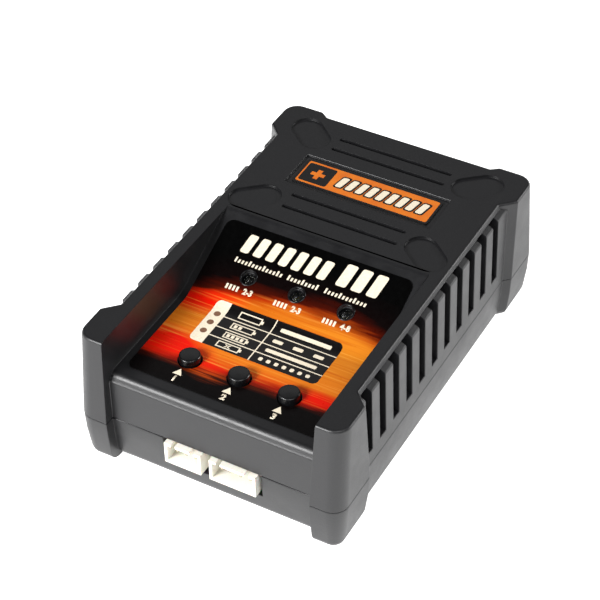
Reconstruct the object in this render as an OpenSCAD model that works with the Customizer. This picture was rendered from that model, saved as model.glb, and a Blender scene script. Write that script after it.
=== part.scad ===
/* [Case] */
// Width over the corner posts at the top face
case_w = 69; // [69:0.5:84]
// Length over the corner posts at the top face
case_l = 100.8; // [100.8:0.4:122]
// Height of the upper shell, from the joint line to the top face
upper_h = 23.6; // [23:0.2:28.4]
// Height of the lower shell, from its underside to the joint line
lower_h = 13.8; // [13.8:0.2:16.6]
// Wall of both shells
wall = 2.2; // [1.8:0.1:2.7]
// How far a corner post stands out from the edge of the deck
post_out = 3.8; // [3:0.1:4.6]
// Length of the flat side of a corner post
post_side_l = 10.3; // [8.6:0.1:12.4]
// Width of a front post, across the front
post_front_w = 7.1; // [5.9:0.1:8.5]
// Plan radius of the outer corners
corner_r = 4; // [3.2:0.1:4.8]
// Radius along the top edges
edge_r = 0.7; // [0.4:0.05:0.9]
// Radius along the bottom edges
bottom_r = 3.4; // [2.8:0.1:4]

/* [Side ribs] */
// Distance from one side slot to the next
slot_pitch = 6.66; // [5.6:0.02:7]
// Width of a side slot
slot_w = 2.95; // [2.4:0.05:3.6]
// Number of slots on a side
slot_n = 11; // [5:1:11]
// Height of the plain band under the slots
slot_sill = 4.1; // [3.4:0.1:5]

/* [Control panel] */
// Depth of the flat panel floor under the top face
panel_depth = 10.5; // [8.8:0.1:11.5]
// Slope of the ramp behind the flat, in degrees
ramp_angle = 24.3; // [20:0.1:29]
// Distance from the middle of the case back to the top of the ramp
ramp_top_y = 5.4; // [4.4:0.1:6.4]
// Width of the control label
label_w = 50.4; // [42:0.2:52]
// Length of the control label, in plan
label_l = 47.6; // [40:0.2:48]
// Thickness of the stuck-on labels
label_t = 0.25; // [0.2:0.05:0.4]

/* [Buttons and lamps] */
// Diameter of a button cap
button_d = 5.2; // [4.4:0.05:6.2]
// How far a cap stands above the panel floor
button_proud = 2.1; // [1.75:0.05:2.5]
// Travel of a button
button_travel = 0.4; // [0.3:0.05:0.5]
// Distance from one button to the next, and from lamp to lamp
button_pitch = 13.1; // [11:0.1:15.7]
// Distance from the front post faces back to the buttons
button_back = 14.1; // [12:0.1:16.9]
// Diameter of a lamp body
lamp_d = 3; // [2.5:0.05:3.6]
// Clearance round moving and plugged-in pieces, on each side
clearance = 0.2; // [0.15:0.01:0.3]

/* [Deck] */
// Half-length of the vent slots in the deck
vent_half = 15.6; // [13:0.1:18.7]
// Width of the vent slots in the deck
vent_w = 1; // [0.8:0.05:1.2]
// Length of the name plate, across the case
plate_l = 37.2; // [31:0.2:44.6]
// Width of the name plate
plate_w = 9.6; // [8:0.1:11.5]
// Length of an oval dimple
dimple_l = 13.2; // [11:0.1:15]
// Width of an oval dimple
dimple_w = 8; // [6.6:0.1:9.6]

/* [Boards] */
// Thickness of both circuit boards
board_t = 1.6; // [1.2:0.1:2]
// Height of the main board over the underside of the case
board_lift = 5.6; // [4.7:0.1:5.7]
// Pitch of the balance socket pins
pin_pitch = 2.5; // [2.1:0.05:3]
// Height of a rubber foot below the case
foot_h = 0.8; // [0.6:0.1:1]
// Diameter of a rubber foot
foot_d = 8; // [6.6:0.1:9.6]

/* [Hidden] */
$fn = 48;

// Heights. The case stands on its feet at z = 0.
z_case = foot_h;
z_joint = z_case + lower_h;
z_top = z_joint + upper_h;
z_floor = z_case + wall;
z_board = z_case + board_lift;
z_parts = z_board + board_t;
z_panel = z_top - panel_depth;
z_under = z_panel - wall;

// Draft: how far each face leans out between the top and the joint line
post_draft = 0.4;
end_draft = 2.2;
flank_draft = 2.1;
inner_draft = 0.6;
front_draft = 0.9;
// Step from the post faces back to the front wall, and to the rear wall
front_step = 1.4;
rear_step = 1.5;

// Half sizes
hw = case_w / 2;
hl = case_l / 2;
deck_x = hw - post_out;
cav_x = deck_x - wall;
cav_y0 = -(hl - front_step - wall);
cav_y1 = hl - rear_step - wall;
// Half width between the front posts, at the top
bay_x = hw - post_front_w;

// Panel profile: where the ramp meets the flat
ramp_run = panel_depth / tan(ramp_angle);
bend_y = ramp_top_y - ramp_run;
bend_r = 9;
crest_r = 4;
nose_r = 2;

// Switch stack, from the cap down to the control board
cap_flange_t = 0.9;
cap_flange_d = button_d + 2.2;
z_cap = z_panel + button_proud;
z_flange = z_under - 0.3;
switch_h = 3;
plunger_d = 3.2;
plunger_out = 1.5;
z_switch = z_flange - cap_flange_t - plunger_out;
z_cboard = z_switch - switch_h;
button_y = -(hl - button_back);
// Lamps sit on the ramp
lamp_y = button_y + 27.2;
ramp_z = z_top - (ramp_top_y - lamp_y) * tan(ramp_angle);
// Bosses of the control board, clear of the outer buttons' flanges
control_d = 2.1;
control_boss_d = 4.6;
control_x = button_pitch + (cap_flange_d + control_boss_d) / 2 + 0.27;
control_y = button_y;
cb_x = control_x + 1.45;
cb_y0 = button_y - 6;
cb_y1 = lamp_y + 5;

// Fixing points
screw_x = cav_x - 2.9;
screw_y = cav_y1 - 2.9;
screw_d = 2.9;
boss_d = 6.6;
stand_d = 6;
stand_x = cav_x - 4;
stand_y0 = cav_y0 + 14;
stand_y1 = cav_y1 - 27;
foot_x = screw_x - 1;
foot_y = screw_y - 10;

// Points round the corner p between a and b, with radius r
function corner(a, p, b, r, n) =
    let (u = (a - p) / norm(a - p), v = (b - p) / norm(b - p),
        h = acos(u * v) / 2, d = r / tan(h),
        c = p + (u + v) / norm(u + v) * r / sin(h),
        s = p + u * d - c, e = p + v * d - c,
        t = atan2(s[0] * e[1] - s[1] * e[0], s * e))
    [for (i = [0:n]) let (w = t * i / n)
        c + [s[0] * cos(w) - s[1] * sin(w), s[0] * sin(w) + s[1] * cos(w)]];
function xy(q) = [q[0], q[1]];
// A closed outline with every corner rounded; each entry is [x, y, radius, steps]
function rounded(q) = [for (i = [0:len(q) - 1])
    each corner(xy(q[(i + len(q) - 1) % len(q)]), xy(q[i]), xy(q[(i + 1) % len(q)]), q[i][2], q[i][3])];
// Right half of the case outline. s runs from 0 at the top to 1 at the joint,
// g is the inset and xs the half width between the posts.
function half_outline(s, g, xs) =
    let (xp = hw + post_draft * s - g, yf = hl + end_draft * s - g,
        k = hl - post_side_l - hw - flank_draft * s + g * sqrt(2),
        r = max(corner_r - g, 0.4), x = xs - g, rf = 0.5)
    [[xp, -yf, r, 6], [xp, -(xp + k), rf, 2], [x, -(x + k), rf, 2],
        [x, x + k, rf, 2], [xp, xp + k, rf, 2], [xp, yf, r, 6],
        [bay_x - 2.4, yf, rf, 2], [bay_x - 4.4, yf - rear_step, rf, 2]];
function outline(s, g, xs) =
    let (h = half_outline(s, g, xs), n = len(h))
    rounded([for (p = h) p, for (i = [n - 1:-1:0]) [-h[i][0], h[i][1], h[i][2], h[i][3]]]);
// Side of the body between the posts, at the depth d under the top face: a short drop
// from the deck, a sloping ledge that forms the rib tops, then the flank. Each entry is
// [depth, share of the way out].
side_steps = [[0, 0], [1, 0.03], [1.15, 0.16], [1.75, 0.84], [1.95, 0.95], [2.3, 1]];
side_run = 2.3;
side_out = post_out - 1.8;
function side_x(d) = deck_x + 0.3 + (side_out - 0.3) * lookup(d, side_steps)
    + 0.5 * max(0, d - side_run) / (upper_h - side_run);
function at_depth(d, g) = [outline(d / upper_h, g, side_x(d)), z_top - d];
// Lower shell: inset at the depth d under the joint
low_y = lower_h - bottom_r * (1 - sin(10));
function low_ring(a) = [outline(1, 1 + bottom_r * (cos(10) - cos(a)), side_x(upper_h)),
    z_joint - low_y - bottom_r * (sin(a) - sin(10))];
function low_side(d, g) = [outline(1, g, side_x(upper_h)), z_joint - d];

// Skin through a stack of rings, lowest first, all with the same count of points
module loft(rings) {
    n = len(rings[0][0]);
    m = len(rings);
    polyhedron(points = [for (k = rings) for (p = k[0]) [p[0], p[1], k[1]]],
        faces = [[for (i = [0:n - 1]) i],
            for (k = [0:m - 2]) for (i = [0:n - 1]) let (j = (i + 1) % n, b = k * n, t = b + n)
                each [[b + i, t + i, t + j], [b + i, t + j, b + j]],
            [for (i = [n - 1:-1:0]) (m - 1) * n + i]]);
}
// Keeps what lies between two levels, with a flat cut at each
module between(z0, z1) intersection() {
    children();
    translate([-2 * hw, -2 * hl, z0]) cube([4 * hw, 4 * hl, z1 - z0]);
}
// Extrudes a profile drawn as [y, z] across the case, from -w to w
module across(w) {
    translate([-w, 0, 0]) rotate([90, 0, 90]) linear_extrude(2 * w) children();
}
// Floor line of the panel from the front edge to the deck, lifted by t
function panel_line(t) =
    let (c = [bend_y, z_panel], e = [ramp_top_y, z_top], f = [cav_y0 - wall + nose_r, z_panel],
        n = [-sin(ramp_angle), cos(ramp_angle)], m = tan(ramp_angle / 2))
    concat([[f[0], z_panel + t]],
        corner([f[0], f[1] + t], [c[0] - t * m, c[1] + t], e + n * t, bend_r, 8),
        [e + n * t + [cos(ramp_angle), sin(ramp_angle)] * -crest_r * m]);
// Ramp surface height at y
function ramp_at(y) = z_top - (ramp_top_y - y) * tan(ramp_angle);

// The space over the panel and in front of the front wall, down to z0
module panel_space(z0, lean) {
    y0 = cav_y0 - wall;
    far = -(hl + 10);
    intersection() {
        across(hw) polygon(concat(
            [[far, z0], [y0 - lean, z0], [y0 - lean * 0.4, z_panel - nose_r]],
            [for (a = [15:15:75]) [y0 + nose_r * (1 - cos(a)), z_panel - nose_r * (1 - sin(a))]],
            panel_line(0),
            [for (i = [1:5]) let (a = ramp_angle * (1 - i / 5), d = crest_r * tan(ramp_angle / 2))
                [ramp_top_y + d - crest_r * sin(a), z_top - crest_r * (1 - cos(a))]],
            [[ramp_top_y + 1.2, z_top + 1], [far, z_top + 1]]));
        rotate([90, 0, 0]) translate([0, 0, -20]) linear_extrude(hl + 40) polygon([
            [-bay_x - inner_draft / upper_h, z_top + 1], [bay_x + inner_draft / upper_h, z_top + 1],
            [bay_x - inner_draft, z_joint], [bay_x - inner_draft, z_joint - lower_h - 1],
            [-(bay_x - inner_draft), z_joint - lower_h - 1], [-(bay_x - inner_draft), z_joint]]);
    }
}
// Room inside the upper shell, following the underside of the panel
module upper_room() {
    y0 = cav_y0;
    m = tan(ramp_angle / 2);
    across(cav_x) polygon([[y0, z_joint - 1], [y0, z_under], [bend_y + wall * m, z_under],
        [ramp_top_y + wall * m, z_top - wall], [cav_y1, z_top - wall], [cav_y1, z_joint - 1]]);
}
module each_corner(x, y) {
    for (i = [-1, 1]) for (j = [-1, 1]) translate([i * x, j * y, 0]) children();
}
module oblong(l, w, h) {
    translate([-l / 2 + w / 2, -w / 2, 0]) cube([l - w, w, h]);
    for (i = [-1, 1]) translate([i * (l - w) / 2, 0, 0]) cylinder(d = w, h = h);
}
module side_slots() {
    y0 = -(hl - post_side_l - post_out + 0.35);
    for (i = [-1, 1]) for (k = [0:slot_n - 1])
        translate([i > 0 ? cav_x - 0.5 : -hw - 2, y0 + k * slot_pitch, z_joint + slot_sill])
            cube([hw - cav_x + 2.5, slot_w, upper_h - slot_sill - 1.1]);
}
// Mains inlet opening, in the rear wall
inlet_w = 17.6;
inlet_h = 11;
inlet_z = z_joint - 0.4;
module inlet_hole(c) {
    translate([-inlet_w / 2 - c, cav_y1 - 1, inlet_z - inlet_h / 2 - c])
        cube([inlet_w + 2 * c, wall + rear_step + 8, inlet_h + 2 * c]);
}
// Deck features keep their distance from the rear post faces
dimple_x = 23.3;
dimple_back = [38.4, 9.6];
vent_back = [38.35, 33.55, 12.7, 8.4];
plate_back = 23.6;
function deck_y(back) = hl - back;

module top_shell() color("#26262a") difference() {
    union() {
        difference() {
            between(z_joint, z_top) loft([at_depth(upper_h + 1, 0),
                for (k = [len(side_steps) - 1:-1:1]) at_depth(side_steps[k][0], 0),
                at_depth(edge_r, 0), at_depth(edge_r * 0.3, edge_r * 0.29),
                at_depth(0, edge_r), [outline(0, edge_r, side_x(0)), z_top + 1]]);
            upper_room();
            panel_space(z_joint - 1, front_draft);
        }
        for (i = [-1, 1]) for (j = [-1, 1]) translate([i * screw_x, j * screw_y, z_joint])
            cylinder(d = boss_d, h = (j < 0 ? z_under : z_top - wall) - z_joint + 0.4);
        for (i = [-1, 1]) translate([i * control_x, control_y, z_cboard])
            cylinder(d = control_boss_d, h = z_under - z_cboard + 0.4);
    }
    each_corner(screw_x, screw_y) translate([0, 0, z_joint - 1]) cylinder(d = screw_d + 0.1, h = 11);
    for (i = [-1, 1]) translate([i * control_x, control_y, z_cboard - 1])
        cylinder(d = control_d + 0.1, h = 6);
    side_slots();
    for (back = vent_back) translate([0, deck_y(back), z_top - wall - 1])
        oblong(2 * vent_half, vent_w, wall + 2);
    translate([-plate_l / 2 - 1.2, deck_y(plate_back) - plate_w / 2 - 1.2, z_top - 0.6])
        cube([plate_l + 2.4, plate_w + 2.4, 2]);
    for (i = [-1, 1]) for (j = [0, 1])
        translate([i * dimple_x, deck_y(dimple_back[j]), z_top - 0.7])
            rotate([0, 0, i * (j == 0 ? -40 : 40)]) oblong(dimple_l, dimple_w, 2);
    for (i = [-1, 0, 1]) {
        translate([i * button_pitch, button_y, z_under - 1])
            cylinder(d = button_d + 2 * clearance, h = wall + 2);
        translate([i * button_pitch, lamp_y, ramp_z]) rotate([ramp_angle, 0, 0])
            translate([0, 0, -wall - 4]) cylinder(d = lamp_d + 2 * clearance, h = wall + 6);
    }
    inlet_hole(0.1);
}
module bottom_shell() color("#26262a") difference() {
    union() {
        difference() {
            between(z_case, z_joint) loft([[low_ring(90)[0], z_case - 1], low_ring(90), low_ring(70),
                low_ring(50), low_ring(30), low_ring(10), low_side(low_y * 0.45, 0.25), low_side(-1, 0)]);
            translate([-cav_x, cav_y0, z_floor]) cube([2 * cav_x, cav_y1 - cav_y0, lower_h]);
            low_front();
        }
        each_corner(screw_x, screw_y) translate([0, 0, z_floor - 0.5])
            cylinder(d = boss_d, h = z_joint - z_floor + 0.5);
        for (x = [-stand_x, stand_x]) for (y = [stand_y0, stand_y1])
            translate([x, y, z_floor - 0.5]) cylinder(d = stand_d, h = z_board - z_floor + 0.5);
    }
    each_corner(screw_x, screw_y) {
        translate([0, 0, z_case - 1]) cylinder(d = head_d + 0.3, h = head_z + head_h - z_case + 1);
        translate([0, 0, z_floor]) cylinder(d = screw_d + 0.3, h = lower_h);
    }
    for (x = [-stand_x, stand_x]) for (y = [stand_y0, stand_y1])
        translate([x, y, z_floor + 0.6]) cylinder(d = board_screw_d + 0.1, h = z_board - z_floor);
    each_corner(foot_x, foot_y) translate([0, 0, z_case - 1]) cylinder(d = foot_d + 0.1, h = 1.8);
    translate([-rating_w / 2 - 0.2, -rating_l / 2 - 0.2, z_case - 1])
        cube([rating_w + 0.4, rating_l + 0.4, 1 + rating_t]);
    translate([-socket_x - 0.85, -hl - 5, z_joint - socket_h - 0.9])
        cube([2 * socket_x + 1.7, 12, socket_h + 2]);
    inlet_hole(0.1);
}
board_screw_d = 2.5;
rating_w = 31.6;
rating_l = 43.6;
rating_t = 0.3;
head_d = 5.4;
head_h = 2;
head_z = z_floor + 1 - head_h;
// The lower shell's front wall between the posts
module low_front() {
    y0 = cav_y0 - wall - front_draft;
    a0 = 10;
    across(bay_x - inner_draft) polygon(concat(
        [[y0, z_joint + 1], [y0, z_joint], [y0 + 0.25, z_joint - low_y * 0.45]],
        [for (a = [a0:20:90]) [y0 + 1 + bottom_r * (cos(a0) - cos(a)),
            z_joint - low_y - bottom_r * (sin(a) - sin(a0))]],
        [[y0 + 1 + bottom_r * cos(a0), z_case - 1], [-hl - 10, z_case - 1], [-hl - 10, z_joint + 1]]));
}

// Stuck on the panel: along the flat, round the bend and up the ramp
label_y1 = ramp_top_y - 2.6;
label_r = 2;
module control_label() color("#e0500a") difference() {
    intersection() {
        across(label_w / 2) polygon(concat(panel_line(0),
            [for (i = [len(panel_line(0)) - 1:-1:0]) panel_line(label_t)[i]]));
        translate([0, label_y1 - label_l / 2, z_panel - 5]) rounded_plate(label_w, label_l, label_r, 20);
    }
    for (i = [-1, 0, 1]) {
        translate([i * button_pitch, button_y, z_panel - 1])
            cylinder(d = button_d + 2 * clearance + 0.4, h = 3);
        translate([i * button_pitch, lamp_y, ramp_z]) rotate([ramp_angle, 0, 0])
            translate([0, 0, -3]) cylinder(d = lamp_d + 0.6, h = 6);
    }
}
module rounded_plate(l, w, r, h) {
    linear_extrude(h) polygon(rounded([[l / 2, -w / 2, r, 5], [l / 2, w / 2, r, 5],
        [-l / 2, w / 2, r, 5], [-l / 2, -w / 2, r, 5]]));
}
module name_plate() color("#e87d1e") translate([0, deck_y(plate_back), z_top - 0.6])
    rounded_plate(plate_l, plate_w, 0.6, 0.4);

module button(i) color("#18181a") translate([i * button_pitch, button_y, 0]) {
    translate([0, 0, z_flange - 0.01]) rotate_extrude() polygon([[0, 0], [button_d / 2, 0],
        [button_d / 2, z_cap - z_flange - 0.5], [button_d / 2 - 0.15, z_cap - z_flange - 0.17],
        [button_d / 2 - 0.5, z_cap - z_flange], [0, z_cap - z_flange + 0.01]]);
    translate([0, 0, z_flange - cap_flange_t]) cylinder(d = cap_flange_d, h = cap_flange_t);
}
module plunger(i) color("#d8d8d8") translate([i * button_pitch, button_y, z_switch - 0.7])
    cylinder(d = plunger_d, h = plunger_out + 0.7);
module switch_body(i) color("#3a3a3c") translate([i * button_pitch, button_y, z_cboard]) {
    difference() {
        translate([-3, -3, 0]) cube([6, 6, switch_h]);
        translate([0, 0, switch_h - 0.7 - button_travel - 0.15])
            cylinder(d = plunger_d + clearance, h = 3);
    }
}
module lamp(i) color("#b8c4c0") translate([i * button_pitch, lamp_y, ramp_z]) {
    rotate([ramp_angle, 0, 0]) {
        translate([0, 0, -4.8]) cylinder(d = lamp_d, h = 3.2);
        translate([0, 0, -1.6]) rotate_extrude() polygon([[0, 0], [lamp_d / 2, 0],
            [lamp_d / 2 * 0.87, 0.55], [lamp_d / 2 * 0.5, 0.98], [0, 1.1]]);
    }
    for (k = [-1, 1]) translate([k * 0.9 - 0.25, 4.4 * sin(ramp_angle) - 0.25, z_cboard - ramp_z])
        cube([0.5, 0.5, ramp_z - z_cboard - 4.4 * cos(ramp_angle)]);
}
module control_board() color("#2f6b3a") difference() {
    translate([-cb_x, cb_y0, z_cboard - board_t]) cube([2 * cb_x, cb_y1 - cb_y0, board_t]);
    for (i = [-1, 1]) translate([i * control_x, control_y, z_cboard - 4])
        cylinder(d = control_d + 0.3, h = 6);
}
module control_screws() color("#b9bcc0") for (i = [-1, 1])
    translate([i * control_x, control_y, z_cboard - board_t]) {
        translate([0, 0, -1.3]) pan_head(3.8, 1.3);
        cylinder(d = control_d, h = board_t + 4);
    }
module link_header() color("#202022") translate([-cb_x + 4, (cb_y0 + cb_y1) / 2 - 7.6, z_parts]) {
    cube([2.5, 15.2, 2.5]);
    for (k = [0:5]) translate([1, 1 + k * 2.54, 2.5]) cube([0.64, 0.64, z_cboard - board_t - z_parts - 2.5]);
}
module main_board() color("#2f6b3a") difference() {
    translate([-cav_x + 0.4, cav_y0 + 0.4, z_board])
        cube([2 * cav_x - 0.8, cav_y1 - cav_y0 - 0.8, board_t]);
    for (i = [-1, 1]) for (j = [-1, 1]) translate([i * (screw_x + 6), j * (screw_y + 6), z_board])
        cube([boss_d + 13, boss_d + 13, 2 * board_t + 2], center = true);
    for (x = [-stand_x, stand_x]) for (y = [stand_y0, stand_y1]) translate([x, y, z_board - 1])
        cylinder(d = board_screw_d + 0.3, h = board_t + 2);
}
module board_screws() color("#b9bcc0") for (x = [-stand_x, stand_x]) for (y = [stand_y0, stand_y1])
    translate([x, y, 0]) {
        translate([0, 0, z_floor + 1]) cylinder(d = board_screw_d, h = z_parts - z_floor - 1);
        translate([0, 0, z_parts]) pan_head(4.6, 1.6);
    }
module pan_head(d, h) difference() {
    cylinder(d = d, h = h);
    translate([-d * 0.36, -0.3, h > 1.5 ? h * 0.55 : -0.1]) cube([d * 0.72, 0.6, h * 0.5]);
}
module case_screws() color("#b9bcc0") each_corner(screw_x, screw_y) {
    translate([0, 0, head_z]) difference() {
        cylinder(d = head_d, h = head_h);
        for (a = [0, 90]) rotate([0, 0, a]) translate([-1.6, -0.35, -0.1]) cube([3.2, 0.7, 1.2]);
    }
    translate([0, 0, head_z + head_h]) cylinder(d = screw_d, h = z_joint + 9 - head_z - head_h);
}
module rubber_feet() color("#1b1b1b") each_corner(foot_x, foot_y) rotate_extrude()
    polygon([[0, 0], [foot_d / 2 - 0.4, 0], [foot_d / 2, 0.4], [foot_d / 2, foot_h + 0.8], [0, foot_h + 0.8]]);
module rating_label() color("#c9c9c6") translate([-rating_w / 2, -rating_l / 2, z_case])
    cube([rating_w, rating_l, rating_t]);

// Balance sockets: a plain housing, open at the front, with square pins
socket_h = 6.2;
socket_l = 11;
socket_wall = 0.8;
socket_gap = 2.2;
function socket_w(n) = (n - 1) * pin_pitch + 4.8;
socket_x = (socket_w(3) + socket_w(4) + socket_gap) / 2;
socket_y = cav_y0 - wall - front_draft - 1.1;
socket_z = z_joint - 0.2 - socket_h;
module socket(n) difference() {
    cube([socket_w(n), socket_l, socket_h]);
    translate([socket_wall, -1, socket_wall])
        cube([socket_w(n) - 2 * socket_wall, 8.4, socket_h - 2 * socket_wall]);
    for (k = [0:n - 1]) translate([2.4 + k * pin_pitch - 0.34, 0, socket_h / 2 - 0.34])
        cube([0.68, socket_l + 1, 0.68]);
    for (k = [1.9, socket_w(n) - 2.9]) translate([k, -1, socket_h - socket_wall - 1])
        cube([1, 6, socket_wall + 2]);
}
module socket_pins(n) for (k = [0:n - 1]) translate([2.4 + k * pin_pitch - 0.32, 1.6, socket_h / 2 - 0.32]) {
    cube([0.64, socket_l, 0.64]);
    translate([0, socket_l - 0.64, z_parts - socket_z - socket_h / 2 + 0.32])
        cube([0.64, 0.64, socket_z + socket_h / 2 - z_parts]);
}
module at_socket(n) {
    translate([n == 3 ? -socket_x : socket_x - socket_w(4), socket_y, socket_z]) children();
}
module socket_3pin() color("#f2f1ea") at_socket(3) socket_seat(3);
module socket_4pin() color("#f2f1ea") at_socket(4) socket_seat(4);
// The housing with the two ribs that carry it on the board
module socket_seat(n) {
    socket(n);
    for (x = [0, socket_w(n) - 1]) translate([x, cav_y0 + 1 - socket_y, z_parts - socket_z])
        cube([1, socket_l - (cav_y0 + 1 - socket_y), socket_z - z_parts]);
}
module socket_3pin_pins() color("#c8b878") at_socket(3) socket_pins(3);
module socket_4pin_pins() color("#c8b878") at_socket(4) socket_pins(4);

// Mains inlet, a figure-of-eight socket in a block
inlet_l = 16;
inlet_y = cav_y1 + wall + end_draft - 0.4;
module figure_eight(r, p, h) rotate([90, 0, 0]) {
    for (i = [-1, 1]) translate([i * p / 2, 0, 0]) cylinder(r = r, h = h);
    translate([-p / 2, -r * 0.8, 0]) cube([p, r * 1.6, h]);
}
module mains_inlet() color("#1e1e20") difference() {
    union() {
        translate([-inlet_w / 2, inlet_y - inlet_l, inlet_z - inlet_h / 2])
            cube([inlet_w, inlet_l, inlet_h]);
        translate([-inlet_w / 2, inlet_y - inlet_l, z_parts])
            cube([inlet_w, cav_y1 - 0.2 - inlet_y + inlet_l, inlet_z - inlet_h / 2 - z_parts + 0.1]);
    }
    translate([0, inlet_y + 1, inlet_z]) figure_eight(3.9, 7.4, 11.5);
    for (i = [-1, 1]) translate([i * 4.3, inlet_y + 1, inlet_z]) rotate([90, 0, 0])
        cylinder(d = 2.5, h = inlet_l + 2);
}
module inlet_pins() color("#d0d2d4") for (i = [-1, 1])
    translate([i * 4.3, inlet_y - 1.5, inlet_z]) rotate([90, 0, 0]) cylinder(d = 2.4, h = inlet_l - 0.5);

// Parts on the main board. The rear group keeps its place from the rear wall,
// the front group from the front wall.
rear_y = cav_y1;
front_y = cav_y0;
module fuse() color("#e6e0cf") translate([-cav_x + 1, rear_y - 22, z_parts]) {
    cube([5, 1.6, 6]);
    translate([0, 12.4, 0]) cube([5, 1.6, 6]);
    translate([2.5, 0, 5.4]) rotate([-90, 0, 0]) cylinder(d = 5.2, h = 14);
}
module bridge_rectifier() color("#222224") translate([-cav_x + 9, rear_y - 22, z_parts]) {
    cube([4, 12, 10]);
    translate([4, 0.5, 1.5]) cube([0.3, 11, 7]);
}
module mains_choke() color("#b06a2c") translate([0, rear_y - 22.5, z_parts]) {
    translate([-6.5, -4, 0]) cube([13, 8, 1.5]);
    translate([0, 4, 8.3]) rotate([90, 0, 0]) difference() {
        cylinder(d = 14, h = 8);
        translate([0, 0, -1]) cylinder(d = 6, h = 10);
    }
}
module bulk_capacitor() color("#23305a") translate([cav_x - 10, rear_y - 16.2, z_parts]) {
    cylinder(d = 15, h = 21);
    translate([0, 0, 20.9]) cylinder(d = 13.6, h = 0.5);
}
core_w = 22;
core_l = 20;
core_h = 18;
core_y = rear_y - 48.5;
module transformer_core() color("#3c3a3c") translate([-core_w / 2 + 2, core_y, z_parts + 1.5]) {
    difference() {
        cube([core_w, core_l, core_h]);
        translate([4.5, -1, 4]) cube([core_w - 9, core_l + 2, core_h - 8]);
    }
    translate([core_w / 2 - 3, core_l / 2 - 3, 3.9]) cube([6, 6, core_h - 7.8]);
}
module transformer_winding() color("#d9b640") translate([2, core_y + core_l / 2, z_parts]) {
    difference() {
        translate([-6.3, -11.5, 5.6]) cube([12.6, 23, core_h - 8.2]);
        translate([-3.1, -3.1, 0]) cube([6.2, 6.2, core_h + 4]);
    }
    for (j = [-1, 1]) translate([-6.3, j * 11 - 0.5 * (j + 1), 0]) cube([12.6, 1, 5.7]);
}
module heat_sink() color("#a9adb0") translate([-cav_x + 1.2, core_y - 3, z_parts]) {
    cube([1.8, 22, 19]);
    for (k = [0:3]) translate([1.7, k * 6.4 + 0.4, 12]) cube([2.6, 1.4, 7]);
}
module power_transistor() color("#1f1f21") translate([-cav_x + 3, core_y + 2, z_parts]) {
    translate([0, 0, 1.5]) cube([3.4, 5, 10.3]);
    for (k = [0:1]) translate([1.4, 1 + k * 2.4, 0]) cube([0.6, 0.7, 1.6]);
}
module output_diode() color("#1f1f21") translate([-cav_x + 3, core_y + 12, z_parts]) {
    translate([0, 0, 1.5]) cube([3.4, 5, 10.3]);
    for (k = [0:1]) translate([1.4, 1 + k * 2.4, 0]) cube([0.6, 0.7, 1.6]);
}
module output_capacitors() color("#3a2f55") for (k = [0, 1])
    translate([cav_x - 8, core_y + 5 + k * 10.5, z_parts]) cylinder(d = 8, h = 12);
module output_inductor() color("#5a5d60") translate([6, front_y + 22, z_parts]) {
    cylinder(d = 11, h = 1.2);
    cylinder(d = 8.6, h = 5.2);
    translate([0, 0, 5.1]) cylinder(d = 11, h = 1.2);
}
module microcontroller() color("#1b1b1d") translate([-9, front_y + 19, z_parts]) {
    translate([0, 0, 0.2]) cube([7, 7, 1.4]);
    for (k = [0:7]) for (x = [-1, 6.6]) translate([x, 0.5 + k * 0.8, 0]) cube([1.4, 0.3, 0.5]);
}

top_shell();
bottom_shell();
control_label();
name_plate();
button(-1);  // button_1
button(0);  // button_2
button(1);  // button_3
plunger(-1);  // plunger_1
plunger(0);  // plunger_2
plunger(1);  // plunger_3
switch_body(-1);  // switch_body_1
switch_body(0);  // switch_body_2
switch_body(1);  // switch_body_3
lamp(-1);  // lamp_1
lamp(0);  // lamp_2
lamp(1);  // lamp_3
control_board();
link_header();
main_board();
socket_3pin();
socket_3pin_pins();
socket_4pin();
socket_4pin_pins();
mains_inlet();
inlet_pins();
fuse();
bridge_rectifier();
mains_choke();
bulk_capacitor();
transformer_core();
transformer_winding();
heat_sink();
power_transistor();
output_diode();
output_capacitors();
output_inductor();
microcontroller();
case_screws();
board_screws();
control_screws();
rubber_feet();
rating_label();
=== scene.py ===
"""Balance battery charger: the finished pieces, their materials and the studio round them."""

import math

import bmesh
import bpy
from mathutils import Matrix, Vector


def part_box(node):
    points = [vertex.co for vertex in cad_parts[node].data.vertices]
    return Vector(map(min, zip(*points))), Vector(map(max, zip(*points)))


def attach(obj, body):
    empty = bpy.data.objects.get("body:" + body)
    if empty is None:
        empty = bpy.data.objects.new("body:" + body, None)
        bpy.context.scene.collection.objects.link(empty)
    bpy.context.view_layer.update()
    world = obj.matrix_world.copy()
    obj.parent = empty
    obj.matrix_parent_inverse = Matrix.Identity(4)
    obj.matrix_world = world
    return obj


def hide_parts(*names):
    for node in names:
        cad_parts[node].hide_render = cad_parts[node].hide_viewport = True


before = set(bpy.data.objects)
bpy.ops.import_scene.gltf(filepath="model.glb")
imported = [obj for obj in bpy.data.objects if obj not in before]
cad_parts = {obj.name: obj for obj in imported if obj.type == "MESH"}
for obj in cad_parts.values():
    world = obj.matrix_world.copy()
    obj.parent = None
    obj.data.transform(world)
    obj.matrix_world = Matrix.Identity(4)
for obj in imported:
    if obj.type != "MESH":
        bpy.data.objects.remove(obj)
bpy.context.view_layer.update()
MM = 0.001

# ---------------------------------------------------------------- the charger's own sizes

CASE_LOW, CASE_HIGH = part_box("top_shell")
LABEL_LOW, LABEL_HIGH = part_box("control_label")
PLATE_LOW, PLATE_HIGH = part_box("name_plate")
RAMP_SLOPE = math.radians(24.3)
BEND_RADIUS = 9 * MM
LABEL_THICK = 0.25 * MM
INK = 0.012 * MM
# The width of a plain broken edge, as a share of the width at the joint between the shells
PLAIN_SHARE = 0.55


def middle(node):
    low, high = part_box(node)
    return (low + high) / 2


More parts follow.
